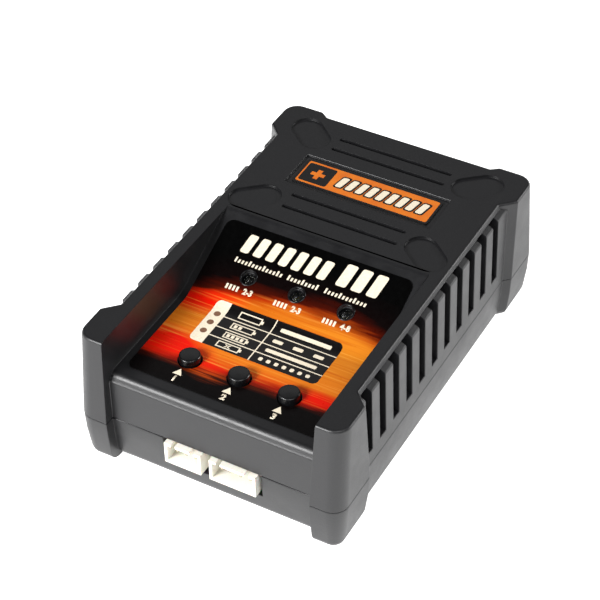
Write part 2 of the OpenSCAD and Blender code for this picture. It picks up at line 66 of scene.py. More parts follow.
# The label ends 2.6 mm short of the top of the ramp, which meets the deck at the case's top
RAMP_TOP_Y = LABEL_HIGH.y + 2.6 * MM
BEND_Y = RAMP_TOP_Y - (CASE_HIGH.z - LABEL_LOW.z) / math.tan(RAMP_SLOPE)


def label_surface(y):
    """Height of the label's upper face: flat, round the bend, then up the ramp."""
    floor = LABEL_LOW.z + LABEL_THICK
    half = BEND_RADIUS * math.tan(RAMP_SLOPE / 2)
    turn_y = BEND_Y - LABEL_THICK * math.tan(RAMP_SLOPE / 2)
    start = turn_y - half
    end = turn_y + half * math.cos(RAMP_SLOPE)
    if y <= start:
        return floor
    if y >= end:
        return floor + (y - turn_y) * math.tan(RAMP_SLOPE)
    return floor + BEND_RADIUS - math.sqrt(BEND_RADIUS**2 - (y - start) ** 2)


# ---------------------------------------------------------------- workshop moves


def take(piece):
    """Makes this piece the only one selected."""
    bpy.ops.object.select_all(action="DESELECT")
    piece.select_set(True)
    bpy.context.view_layer.objects.active = piece
    return piece


def newest(name):
    piece = bpy.context.view_layer.objects.active
    piece.name = name
    piece.data.name = name
    return piece


def pick_faces(piece, wanted):
    """In edit mode, selects the faces whose centre and normal pass the test."""
    bpy.ops.mesh.select_mode(type="FACE")
    bpy.ops.mesh.select_all(action="DESELECT")
    shape = bmesh.from_edit_mesh(piece.data)
    for face in shape.faces:
        face.select_set(wanted(face.calc_center_median(), face.normal))
    bmesh.update_edit_mesh(piece.data)


def pick_edges(piece, wanted):
    """In edit mode, selects the edges whose middle and direction pass the test."""
    bpy.ops.mesh.select_mode(type="EDGE")
    bpy.ops.mesh.select_all(action="DESELECT")
    shape = bmesh.from_edit_mesh(piece.data)
    for edge in shape.edges:
        a, b = edge.verts[0].co, edge.verts[1].co
        edge.select_set(wanted((a + b) / 2, (b - a).normalized()))
    bmesh.update_edit_mesh(piece.data)


def lift_faces(height):
    bpy.ops.mesh.extrude_region_move(TRANSFORM_OT_translate={"value": (0, 0, height)})


def apply_modifier(piece, kind, **settings):
    take(piece)
    modifier = piece.modifiers.new(kind.title(), kind)
    for key, value in settings.items():
        setattr(modifier, key, value)
    bpy.ops.object.modifier_apply(modifier=modifier.name)


def smooth(piece, degrees=35):
    take(piece)
    bpy.ops.object.shade_smooth_by_angle(angle=math.radians(degrees))


def settle(piece):
    """Puts the piece's place, turn and size into its mesh."""
    take(piece)
    bpy.ops.object.transform_apply(location=True, rotation=True, scale=True)


def join(name, pieces):
    bpy.ops.object.select_all(action="DESELECT")
    for piece in pieces:
        piece.select_set(True)
    bpy.context.view_layer.objects.active = pieces[0]
    if len(pieces) > 1:
        bpy.ops.object.join()
    return newest(name)


def fit(piece, material, body="case", stands_for=()):
    """Gives the piece its material and the body that carries it."""
    piece.data.materials.clear()
    piece.data.materials.append(material)
    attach(piece, body)
    if stands_for:
        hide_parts(*stands_for)
    return piece


def broken_edges(node, radius, turn=28, segments=2, parting=None):
    """A copy of a part with every sharp edge broken, as its mould or cutter leaves it.
    parting is the height of a joint face, whose outer edges are broken about 1.8 times as
    wide. All are bevelled in one pass, because a second would cut into the first."""
    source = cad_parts[node]
    piece = bpy.data.objects.new(node + "_made", source.data.copy())
    bpy.context.scene.collection.objects.link(piece)
    take(piece)
    bpy.ops.mesh.customdata_custom_splitnormals_clear()
    bpy.ops.object.mode_set(mode="EDIT")
    bpy.ops.mesh.select_all(action="SELECT")
    bpy.ops.mesh.remove_doubles(threshold=0.002 * MM)
    bpy.ops.mesh.dissolve_limited(angle_limit=math.radians(0.6))
    bpy.ops.mesh.select_mode(type="EDGE")
    bpy.ops.mesh.select_all(action="DESELECT")
    bpy.ops.mesh.edges_select_sharp(sharpness=math.radians(turn))
    bpy.ops.transform.edge_bevelweight(value=PLAIN_SHARE)
    if parting is not None:
        pick_edges(piece, lambda at, along: abs(at.z - parting) < 0.01 * MM
                   and abs(along.z) < 0.01 and max(abs(at.x) / CASE_HIGH.x,
                                                   abs(at.y) / CASE_HIGH.y) > 0.85)
        bpy.ops.transform.edge_bevelweight(value=1)
    bpy.ops.object.mode_set(mode="OBJECT")
    apply_modifier(piece, "BEVEL", width=radius / PLAIN_SHARE, segments=segments,
                   limit_method="WEIGHT", use_clamp_overlap=False, miter_outer="MITER_SHARP")
    # At a blunt corner a mitre can stand proud of the part, so it is held to the part's box
    low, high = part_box(node)
    for vert in piece.data.vertices:
        vert.co = [min(max(vert.co[i], low[i]), high[i]) for i in range(3)]
    smooth(piece, 40)
    apply_modifier(piece, "WEIGHTED_NORMAL", weight=100, keep_sharp=True)
    return piece


# ---------------------------------------------------------------- materials


def linear(code):
    """An sRGB hex colour as the linear colour that a shader takes."""
    parts = [int(code[i:i + 2], 16) / 255 for i in (1, 3, 5)]
    return [c / 12.92 if c <= 0.04045 else ((c + 0.055) / 1.055) ** 2.4 for c in parts] + [1.0]


def add(material, kind, inputs=None, **settings):
    """Adds a node with its settings; an input is a value or another node's socket."""
    made = material.node_tree.nodes.new(kind)
    for key, value in settings.items():
        setattr(made, key, value)
    for key, value in (inputs or {}).items():
        if isinstance(value, bpy.types.NodeSocket):
            material.node_tree.links.new(value, made.inputs[key])
        else:
            made.inputs[key].default_value = value
    return made


def finish(name, **surface):
    """A new material with a principled surface and these settings on its own sockets."""
    material = bpy.data.materials.new(name)
    material.use_nodes = True
    material.node_tree.nodes.clear()
    words = {key.replace("_", " "): value for key, value in surface.items()}
    shader = add(material, "ShaderNodeBsdfPrincipled", words)
    add(material, "ShaderNodeOutputMaterial", {"Surface": shader.outputs["BSDF"]})
    return material, shader


def place_of(material, scale=(1, 1, 1), turn=(0, 0, 0), shift=(0, 0, 0)):
    """Object coordinates in metres, scaled, turned and shifted."""
    where = add(material, "ShaderNodeTexCoord")
    return add(material, "ShaderNodeMapping",
               {"Vector": where.outputs["Object"], "Scale": scale, "Rotation": turn,
                "Location": shift}).outputs["Vector"]


def stops(material, factor, colours):
    """A colour ramp; colours is a list of (place, hex)."""
    ramp = add(material, "ShaderNodeValToRGB", {"Fac": factor})
    while len(ramp.color_ramp.elements) < len(colours):
        ramp.color_ramp.elements.new(0.5)
    for element, (at, code) in zip(ramp.color_ramp.elements, colours):
        element.position = at
        element.color = linear(code)
    return ramp.outputs["Color"]


def levels(material, factor, low, high, out_low, out_high):
    return add(material, "ShaderNodeMapRange",
               {"Value": factor, "From Min": low, "From Max": high,
                "To Min": out_low, "To Max": out_high}).outputs["Result"]


def link(material, shader, **sockets):
    for key, value in sockets.items():
        material.node_tree.links.new(value, shader.inputs[key.replace("_", " ")])


def grain_bump(material, shader, size, depth, strength=1.0, detail=3.0, stretch=(1, 1, 1)):
    """Bump of a random grain of this size and depth, in metres."""
    noise = add(material, "ShaderNodeTexNoise",
                {"Vector": place_of(material, scale=stretch), "Scale": 1 / size,
                 "Detail": detail})
    bump = add(material, "ShaderNodeBump",
               {"Height": noise.outputs["Fac"], "Distance": depth, "Strength": strength})
    link(material, shader, Normal=bump.outputs["Normal"])
    return noise.outputs["Fac"]


def moulded(name, dark, light, rough, grain=0.35 * MM, depth=0.012 * MM, patch=6 * MM, **more):
    """Moulded plastic: fine eroded grain, and a slow drift of tone and gloss from handling."""
    material, shader = finish(name, **more)
    grain_fac = grain_bump(material, shader, grain, depth)
    drift = add(material, "ShaderNodeTexNoise",
                {"Vector": place_of(material), "Scale": 1 / patch, "Detail": 4.0,
                 "Roughness": 0.6})
    blend = add(material, "ShaderNodeMath", {0: drift.outputs["Fac"], 1: grain_fac},
                operation="MULTIPLY_ADD")
    blend.inputs[2].default_value = 0.1
    link(material, shader,
         Base_Color=stops(material, blend.outputs["Value"], [(0.2, dark), (0.55, light)]),
         Roughness=levels(material, drift.outputs["Fac"], 0.3, 0.7, rough - 0.04, rough + 0.05))
    return material


# Spark-eroded black ABS: satin, a fine even grain, greyer where it turns to the light
abs_black = moulded("black moulded ABS", "#0f0f11", "#18181a", 0.4, depth=0.028 * MM,
                    Specular_IOR_Level=0.55)
# The caps are moulded in the same plastic from a smoother tool
abs_cap = moulded("smooth black ABS", "#070708", "#0d0d0f", 0.27, grain=0.3 * MM,
                  depth=0.0015 * MM, Specular_IOR_Level=0.5)
# Nylon 66 of the sockets: warm white, slightly waxy
nylon_white = moulded("white nylon", "#e2dfd3", "#f1eee4", 0.45, grain=0.3 * MM,
                      depth=0.006 * MM, Subsurface_Weight=0.15, Subsurface_Scale=0.4 * MM)
# Glass-filled nylon of the mains inlet: dull black with a coarser skin
nylon_black = moulded("black glass-filled nylon", "#101012", "#1a1a1c", 0.55, grain=0.25 * MM,
                      depth=0.02 * MM)
# Feet of soft rubber: matt, with a bloom
foot_rubber = moulded("black rubber", "#131313", "#232321", 0.8, grain=0.4 * MM,
                      depth=0.02 * MM, patch=3 * MM)
# Transfer-moulded epoxy of chips and transistors: dark grey, very matt
chip_epoxy = moulded("moulded epoxy", "#141416", "#202023", 0.6, grain=0.12 * MM,
                     depth=0.006 * MM, patch=2 * MM)
# Thermoset switch bodies: dark grey, dull
switch_plastic = moulded("phenolic switch body", "#2a2a2c", "#38383b", 0.55, grain=0.2 * MM,
                         depth=0.006 * MM)
acetal_white = moulded("white acetal", "#cfcfcb", "#dededa", 0.35, grain=0.3 * MM,
                       depth=0.003 * MM)
# Fired ferrite: dark, slightly metallic grey, with pores
ferrite_grey = moulded("fired ferrite", "#26262a", "#3a393d", 0.45, grain=0.5 * MM,
                       depth=0.03 * MM, patch=2 * MM)


def metal(name, dark, light, rough, line=(1, 1, 1), size=0.3 * MM, depth=0.004 * MM):
    """Bare or plated metal with the marks of its making, drawn out along one axis."""
    material, shader = finish(name, Metallic=1.0)
    marks = grain_bump(material, shader, size, depth, stretch=line)
    drift = add(material, "ShaderNodeTexNoise",
                {"Vector": place_of(material), "Scale": 1 / (3 * MM), "Detail": 3.0})
    link(material, shader,
         Base_Color=stops(material, drift.outputs["Fac"], [(0.3, dark), (0.7, light)]),
         Roughness=levels(material, marks, 0.3, 0.7, rough - 0.06, rough + 0.08))
    return material


# Zinc-plated steel: cool grey, slightly cloudy
zinc_steel = metal("zinc-plated steel", "#9a9da3", "#c2c5ca", 0.32)
# Tin-plated brass: bright, drawn along its length
tinned_brass = metal("tinned brass", "#b3ad98", "#d2cdba", 0.25, line=(1, 0.1, 1))
# Nickel-plated mains pins: bright and warm
nickel_pin = metal("nickel-plated brass", "#b9b5ac", "#d8d5cc", 0.18, line=(1, 0.1, 1))
# Extruded aluminium: pale, with extrusion lines up its height
extruded_aluminium = metal("extruded aluminium", "#8f9295", "#b4b7ba", 0.38, line=(1, 1, 0.05))


def printed_board():
    """FR-4 with green solder mask: darker bare laminate between paler copper tracks."""
    material, shader = finish("green solder mask", Coat_Weight=0.3, Coat_Roughness=0.2)
    tracks = add(material, "ShaderNodeTexBrick",
                 {"Vector": place_of(material, turn=(0, 0, math.radians(45))),
                  "Scale": 1 / (4 * MM), "Mortar Size": 0.12, "Mortar Smooth": 0.1,
                  "Brick Width": 0.9, "Row Height": 0.35,
                  "Color1": (1, 1, 1, 1), "Color2": (0.8, 0.8, 0.8, 1),
                  "Mortar": (0, 0, 0, 1)}, offset=0.35)
    link(material, shader,
         Base_Color=stops(material, tracks.outputs["Color"], [(0.1, "#133c1f"), (0.6, "#1f5a2d")]),
         Roughness=levels(material, tracks.outputs["Color"], 0, 1, 0.42, 0.3))
    bump = add(material, "ShaderNodeBump", {"Height": tracks.outputs["Color"],
                                            "Distance": 0.04 * MM})
    link(material, shader, Normal=bump.outputs["Normal"])
    return material


def wound(name, dark, light, pitch, axis, metallic=0.0):
    """Turns of wire or tape: fine rounded bands across the given axis."""
    material, shader = finish(name, Metallic=metallic, Roughness=0.35, Coat_Weight=0.4)
    bands = add(material, "ShaderNodeTexWave",
                {"Vector": place_of(material), "Scale": 0.314 / pitch, "Distortion": 0.6,
                 "Detail": 1.0, "Detail Scale": 0.6},
                bands_direction=axis, wave_profile="SIN")
    link(material, shader,
         Base_Color=stops(material, bands.outputs["Fac"], [(0.1, dark), (0.7, light)]))
    bump = add(material, "ShaderNodeBump", {"Height": bands.outputs["Fac"],
                                            "Distance": 0.12 * MM})
    link(material, shader, Normal=bump.outputs["Normal"])
    return material


board_green = printed_board()
# Enamelled copper, about 0.6 mm wire, and polyester tape in 1.5 mm laps
copper_turns = wound("enamelled copper wire", "#5c2710", "#b8672c", 0.6 * MM, "X", 0.85)
winding_tape = wound("yellow polyester tape", "#b78f1d", "#e2bd3c", 1.5 * MM, "Z")


def sleeve(name, dark, light, stripe, centre):
    """Shrunk PVC sleeve of a capacitor, with the pale stripe of its minus side."""
    material, shader = finish(name, Roughness=0.3)
    grain = grain_bump(material, shader, 0.8 * MM, 0.01 * MM)
    where = place_of(material, shift=(-centre.x, -centre.y, -centre.z))
    turned = add(material, "ShaderNodeTexGradient", {"Vector": where}, gradient_type="RADIAL")
    marks = add(material, "ShaderNodeMath", {0: turned.outputs["Fac"], 1: 0.12},
                operation="LESS_THAN")
    base = stops(material, grain, [(0.3, dark), (0.7, light)])
    mixed = add(material, "ShaderNodeMix", {0: marks.outputs["Value"], 6: base,
                                            7: linear(stripe)}, data_type="RGBA")
    link(material, shader, Base_Color=mixed.outputs[2])
    return material


def clear_plastic(name, tint, rough):
    """Cast water-clear epoxy of a lamp: bright rim, faint flow marks."""
    material, shader = finish(name, Transmission_Weight=1.0, IOR=1.54)
    flow = grain_bump(material, shader, 0.9 * MM, 0.004 * MM)
    link(material, shader,
         Base_Color=stops(material, flow, [(0.3, tint), (0.7, "#ffffff")]),
         Roughness=levels(material, flow, 0.3, 0.7, rough, rough + 0.05))
    return material


lamp_epoxy = clear_plastic("water-clear epoxy", "#dfe6e4", 0.03)
fuse_tube = clear_plastic("fuse glass", "#eef3ee", 0.02)


def ink(name, dark, light, rough, size=0.5 * MM):
    """Screen-printed ink: dense, with a slight mottle from the mesh."""
    material, shader = finish(name, Specular_IOR_Level=0.4)
    mottle = grain_bump(material, shader, size, 0.002 * MM)
    link(material, shader,
         Base_Color=stops(material, mottle, [(0.3, dark), (0.7, light)]),
         Roughness=levels(material, mottle, 0.3, 0.7, rough, rough + 0.08))
    return material


cream_ink = ink("cream screen ink", "#dccfb6", "#e9dfca", 0.35)
black_ink = ink("black screen ink", "#060505", "#0b0909", 0.28)
brown_ink = ink("dark print on the tab", "#6a4a38", "#7d5a44", 0.35)
# Printed silver polyester of the rating label, left bare
silver_film = ink("silver polyester film", "#a9aaa9", "#bcbdbc", 0.35, size=2 * MM)
plate_orange = ink("orange enamel", "#c9620f", "#d67418", 0.3, size=3 * MM)


def flame_film():
    """The control label's film: black at both ends, a red to amber glow in streaks between."""
    material, shader = finish("printed polyester film", Roughness=0.3, Specular_IOR_Level=0.1)
    # One unit is one millimetre from here on
    plan = place_of(material, scale=(1000, 1000, 1000))
    apart = add(material, "ShaderNodeSeparateXYZ", {"Vector": plan})
    across, along = apart.outputs["X"], apart.outputs["Y"]

    def noise(turn, stretch, detail=4.0):
        where = place_of(material, scale=(1000, 1000, 0))
        laid = add(material, "ShaderNodeMapping",
                   {"Vector": where, "Rotation": (0, 0, math.radians(turn)), "Scale": stretch})
        made = add(material, "ShaderNodeTexNoise",
                   {"Vector": laid.outputs["Vector"], "Scale": 1.0, "Detail": detail,
                    "Roughness": 0.55})
        return made.outputs["Fac"]

    def sums(kind, a, b, c=None):
        made = add(material, "ShaderNodeMath", {0: a, 1: b}, operation=kind)
        if c is not None:
            if isinstance(c, bpy.types.NodeSocket):
                material.node_tree.links.new(c, made.inputs[2])
            else:
                made.inputs[2].default_value = c
        return made.outputs["Value"]

    def glow(x, y, wide, high):
        """1 at a spot on the label, fading to 0 at the given half sizes."""
        where = add(material, "ShaderNodeMapping",
                    {"Vector": plan, "Location": (-x / wide, -y / high, 0),
                     "Scale": (1 / wide, 1 / high, 0)})
        made = add(material, "ShaderNodeTexGradient", {"Vector": where.outputs["Vector"]},
                   gradient_type="SPHERICAL")
        return made.outputs["Fac"]

    def tint(base, factor, code):
        made = add(material, "ShaderNodeMix", {0: factor, 6: base, 7: linear(code)},
                   data_type="RGBA")
        return made.outputs[2]

    broad = noise(-24, (0.03, 0.28, 1))
    fine = noise(-20, (0.035, 1.3, 1), 2.0)
    # The glow's edges lean up to the right and break into streaks
    leant = sums("MULTIPLY_ADD", across, -0.05, along)
    # Its rear edge is an arch: in the middle of the label it reaches further back
    arch = levels(material, along, -34.0, -14.0, 0, 0.0052)
    arched = sums("MULTIPLY_ADD", sums("MULTIPLY", across, across), arch, leant)
    waved = sums("MULTIPLY_ADD", broad, 6.5, arched)
    place = levels(material, waved, -42.2, 6.3, 0, 1)
    colour = stops(material, place, [
        (0.0, "#030202"), (0.13, "#060303"), (0.165, "#3a0a02"), (0.2, "#981a03"),
        (0.235, "#c8480a"), (0.29, "#d47018"), (0.42, "#d07018"), (0.57, "#c26a14"),
        (0.64, "#bc5c10"), (0.685, "#9c2803"), (0.725, "#3c0a02"), (0.77, "#080303"),
        (0.9, "#020202")])
    lit = levels(material, place, 0.15, 0.24, 0, 1)
    lit = sums("MULTIPLY", lit, levels(material, place, 0.72, 0.64, 0, 1))
    amber = sums("MULTIPLY", sums("MULTIPLY", glow(17, -17, 24, 14), lit), 1.15)
    colour = tint(colour, amber, "#cc781c")
    for spot in ((-26, -15, 17, 8), (-23, -34, 16, 7), (20, -36, 11, 5), (-8, -37, 7, 3)):
        red = sums("MULTIPLY", sums("MULTIPLY", glow(*spot), lit), 2.2)
        colour = tint(colour, red, "#d81203")
    streak = levels(material, fine, 0.56, 0.74, 0, 0.55)
    colour = tint(colour, sums("MULTIPLY", streak, lit), "#e8a040")
    shade = levels(material, fine, 0.46, 0.3, 0, 0.4)
    colour = tint(colour, sums("MULTIPLY", shade, lit), "#a83205")
    # A lone streak crosses the dark front, left of the middle
    lone = sums("MULTIPLY", glow(-7.5, -38.4, 7, 3.2), levels(material, fine, 0.45, 0.6, 0.1, 1))
    colour = tint(colour, lone, "#b8440c")
    link(material, shader, Base_Color=colour)
    skin = noise(0, (0.8, 0.8, 1))
    bump = add(material, "ShaderNodeBump", {"Height": skin, "Distance": 0.004 * MM})
    link(material, shader, Normal=bump.outputs["Normal"],
         Roughness=levels(material, skin, 0.3, 0.7, 0.26, 0.36))
    return material


label_film = flame_film()

# ---------------------------------------------------------------- the case

JOINT = CASE_LOW.z
fit(broken_edges("top_shell", 0.2 * MM, parting=JOINT), abs_black,
    stands_for=["top_shell"])
fit(broken_edges("bottom_shell", 0.2 * MM, parting=JOINT), abs_black,
    stands_for=["bottom_shell"])
fit(broken_edges("control_label", 0.04 * MM), label_film,
    stands_for=["control_label"])
# The plate is black; the rim of it left round the orange field is painted shade at the recess's
# edge
fit(broken_edges("name_plate", 0.08 * MM), black_ink,
    stands_for=["name_plate"])
fit(broken_edges("rubber_feet", 0.2 * MM), foot_rubber,
    stands_for=["rubber_feet"])
fit(broken_edges("rating_label", 0.04 * MM), silver_film,
    stands_for=["rating_label"])
fit(broken_edges("case_screws", 0.12 * MM), zinc_steel,
    stands_for=["case_screws"])
fit(broken_edges("mains_inlet", 0.2 * MM), nylon_black,
    stands_for=["mains_inlet"])
fit(broken_edges("inlet_pins", 0.25 * MM), nickel_pin,
    stands_for=["inlet_pins"])
for way in ("3", "4"):
    fit(broken_edges(f"socket_{way}pin", 0.12 * MM), nylon_white,
        stands_for=[f"socket_{way}pin"])
    fit(broken_edges(f"socket_{way}pin_pins", 0.1 * MM), tinned_brass,
        stands_for=[f"socket_{way}pin_pins"])

# ---------------------------------------------------------------- buttons and lamps


def button_cap(number):
    """A cap on its flange: straight sides, a rolled rim and a face crowned by a hair."""
    low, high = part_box(f"button_{number}")
    centre = (low + high) / 2
    flange = (high.x - low.x) / 2
    cap = flange - 1.1 * MM
    sole = 0.9 * MM
    bpy.ops.object.select_all(action="DESELECT")
    bpy.ops.mesh.primitive_cylinder_add(vertices=64, radius=flange, depth=sole,
                                        location=(centre.x, centre.y, low.z + sole / 2))
    piece = newest(f"button_cap_{number}")
    settle(piece)
    bpy.ops.object.mode_set(mode="EDIT")
    pick_faces(piece, lambda at, normal: normal.z > 0.9)
    bpy.ops.mesh.inset(thickness=flange - cap)
    lift_faces(high.z - low.z - sole - 0.14 * MM)
    pick_edges(piece, lambda at, along: at.z > high.z - 0.2 * MM)
    bpy.ops.mesh.bevel(offset=0.42 * MM, segments=5)
    pick_faces(piece, lambda at, normal: normal.z > 0.99 and at.z > high.z - 0.2 * MM)
    for step in (0.5, 0.7, 0.8):
        bpy.ops.mesh.inset(thickness=step * MM)
        bpy.ops.transform.translate(value=(0, 0, 0.045 * MM))
    bpy.ops.object.mode_set(mode="OBJECT")
    apply_modifier(piece, "BEVEL", width=0.1 * MM, segments=2, limit_method="ANGLE",
                   angle_limit=math.radians(50))
    smooth(piece, 45)
    return piece


for number in (1, 2, 3):
    fit(button_cap(number), abs_cap, body=f"button_{number}_body",
        stands_for=[f"button_{number}"])


# The lamps stand 27.2 mm behind the buttons
LAMP_Y = middle("button_2").y + 27.2 * MM


def lamp(number):
    """A 3 mm lamp: domed clear lens, cup and anvil inside, two legs below."""
    low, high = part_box(f"lamp_{number}")
    x = (low.x + high.x) / 2
    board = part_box("control_board")[1].z
    # The lamp is drawn upright with the ramp's surface at z = 0, then turned square to it
    seat_z = label_surface(LAMP_Y) - LABEL_THICK
    bpy.ops.object.select_all(action="DESELECT")
    bpy.ops.mesh.primitive_cylinder_add(vertices=48, radius=1.48 * MM, depth=3.2 * MM,
                                        location=(0, 0, -3.2 * MM))
    lens = newest("lens")
    settle(lens)
    bpy.ops.object.mode_set(mode="EDIT")
    pick_faces(lens, lambda at, normal: normal.z > 0.9)
    for thick, rise in ((0.06, 0.25), (0.14, 0.28), (0.22, 0.24), (0.3, 0.18), (0.34, 0.1)):
        lift_faces(rise * MM)
        bpy.ops.mesh.inset(thickness=thick * MM)
    bpy.ops.object.mode_set(mode="OBJECT")
    apply_modifier(lens, "BEVEL", width=0.12 * MM, segments=2, limit_method="ANGLE",
                   angle_limit=math.radians(60))
    smooth(lens, 60)
    cups = []
    for side, wide in ((-1, 0.42), (1, 0.36)):
        bpy.ops.object.select_all(action="DESELECT")
        bpy.ops.mesh.primitive_cube_add(
            size=1, location=(side * 0.36 * MM, -0.72 * MM, -2.6 * MM),
            scale=(wide * MM, 0.42 * MM, 2.4 * MM))
        cup = newest("cup")
        settle(cup)
        bpy.ops.object.mode_set(mode="EDIT")
        pick_faces(cup, lambda at, normal: normal.z > 0.9)
        bpy.ops.mesh.inset(thickness=0.12 * MM)
        bpy.ops.transform.translate(value=(0, 0, -0.12 * MM))
        bpy.ops.object.mode_set(mode="OBJECT")
        apply_modifier(cup, "BEVEL", width=0.05 * MM, segments=2)
        cups.append(cup)
    turned = Matrix.Translation((x, LAMP_Y, seat_z)) @ Matrix.Rotation(RAMP_SLOPE, 4, "X")
    for piece in [lens] + cups:
        piece.matrix_world = turned
        settle(piece)
    # The legs stand straight up from the board into the lens, which they meet down its axis
    legs = []
    reach = 4.4 * MM
    foot = LAMP_Y + reach * math.sin(RAMP_SLOPE)
    top = seat_z - reach * math.cos(RAMP_SLOPE)
    for side in (-1, 1):
        bpy.ops.object.select_all(action="DESELECT")
        bpy.ops.mesh.primitive_cube_add(
            size=1, location=(x + side * 0.9 * MM, foot, (board + top) / 2),
            scale=(0.45 * MM, 0.45 * MM, top - board))
        leg = newest("leg")
        settle(leg)
        apply_modifier(leg, "BEVEL", width=0.08 * MM, segments=2)
        legs.append(leg)
    for piece in cups + legs:
        piece.data.materials.append(tinned_brass)
    lens.data.materials.append(lamp_epoxy)
    whole = join(f"lamp_lens_{number}", [lens] + cups + legs)
    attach(whole, "case")
    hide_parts(f"lamp_{number}")
    return whole


def lamp_ring(number):
    """A thin bezel pressed round the lamp's hole: a short tube, walled and rounded over."""
    bpy.ops.object.select_all(action="DESELECT")
    bpy.ops.mesh.primitive_cylinder_add(vertices=56, radius=2.2 * MM, depth=0.3 * MM,
                                        end_fill_type="NOTHING")
    ring = newest(f"lamp_ring_{number}")
    settle(ring)
    apply_modifier(ring, "SOLIDIFY", thickness=0.42 * MM, offset=-1)
    apply_modifier(ring, "BEVEL", width=0.13 * MM, segments=3, limit_method="ANGLE",
                   angle_limit=math.radians(50))
    smooth(ring, 60)
    x = middle(f"lamp_{number}").x
    ring.matrix_world = (Matrix.Translation((x, LAMP_Y, label_surface(LAMP_Y) + 0.1 * MM))
                         @ Matrix.Rotation(RAMP_SLOPE, 4, "X"))
    settle(ring)
    return ring


for number in (1, 2, 3):
    lamp(number)
    fit(lamp_ring(number), abs_cap)

# ---------------------------------------------------------------- printing


def patch(x0, x1, y0, y1, lean=0.0, radius=0.0, corners="abcd"):
    """A flat print shape in millimetres, in plan. lean moves its rear edge sideways, and the
    lettered corners (a front left, b front right, c rear left, d rear right) are rounded."""
    bpy.ops.object.select_all(action="DESELECT")
    bpy.ops.mesh.primitive_plane_add(size=1, location=((x0 + x1) / 2 * MM, (y0 + y1) / 2 * MM, 0))
    piece = newest("patch")
    piece.scale = ((x1 - x0) * MM, (y1 - y0) * MM, 1)
    settle(piece)
    bpy.ops.object.mode_set(mode="EDIT")
    shape = bmesh.from_edit_mesh(piece.data)
    at = {}
    for vert in shape.verts:
        left = vert.co.x < (x0 + x1) / 2 * MM
        front = vert.co.y < (y0 + y1) / 2 * MM
        at[("a" if left else "b") if front else ("c" if left else "d")] = vert
    for letter in "cd":
        at[letter].co.x += lean * MM
    bpy.ops.mesh.select_mode(type="VERT")
    bpy.ops.mesh.select_all(action="DESELECT")
    for letter in corners:
        at[letter].select_set(True)
    bmesh.update_edit_mesh(piece.data)
    if radius:
        bpy.ops.mesh.bevel(offset=radius * MM, segments=5, affect="VERTICES")
    bpy.ops.object.mode_set(mode="OBJECT")
    return piece


def disc(x, y, radius):
    bpy.ops.object.select_all(action="DESELECT")
    bpy.ops.mesh.primitive_circle_add(vertices=32, radius=radius * MM, fill_type="NGON",
                                      location=(x * MM, y * MM, 0))
    piece = newest("disc")
    settle(piece)
    return piece


def numeral(text, x, y, size, slant=0.0):
    """A plain number, centred on x with its foot at y."""
    bpy.ops.object.select_all(action="DESELECT")
    bpy.ops.object.text_add(location=(x * MM, y * MM, 0))
    piece = bpy.context.view_layer.objects.active
    piece.data.body = text
    piece.data.size = size * MM
    piece.data.shear = slant
    piece.data.offset = 0.05 * size * MM
    piece.data.align_x = "CENTER"
    piece.data.resolution_u = 4
    bpy.ops.object.convert(target="MESH")
    settle(piece)
    return piece


def printed(name, shapes, colour, height, level):
    """Joins flat shapes into one printed layer that lies on the surface given by height(y)."""
    piece = join(name, shapes)
    bpy.ops.object.mode_set(mode="EDIT")
    cuts = 9
    half = BEND_RADIUS * math.tan(RAMP_SLOPE / 2)
    for step in range(cuts + 1):
        bpy.ops.mesh.select_all(action="SELECT")
        y = BEND_Y - half + 2 * half * step / cuts
        bpy.ops.mesh.bisect(plane_co=(0, y, 0), plane_no=(0, 1, 0))
    bpy.ops.mesh.select_all(action="SELECT")
    bpy.ops.mesh.normals_make_consistent(inside=False)
    bpy.ops.object.mode_set(mode="OBJECT")
    if sum(face.normal.z for face in piece.data.polygons) < 0:
        piece.data.flip_normals()
    for vert in piece.data.vertices:
        vert.co.z = height(vert.co.y) + level * INK
    apply_modifier(piece, "SOLIDIFY", thickness=INK, offset=1.0)
    return fit(piece, colour)


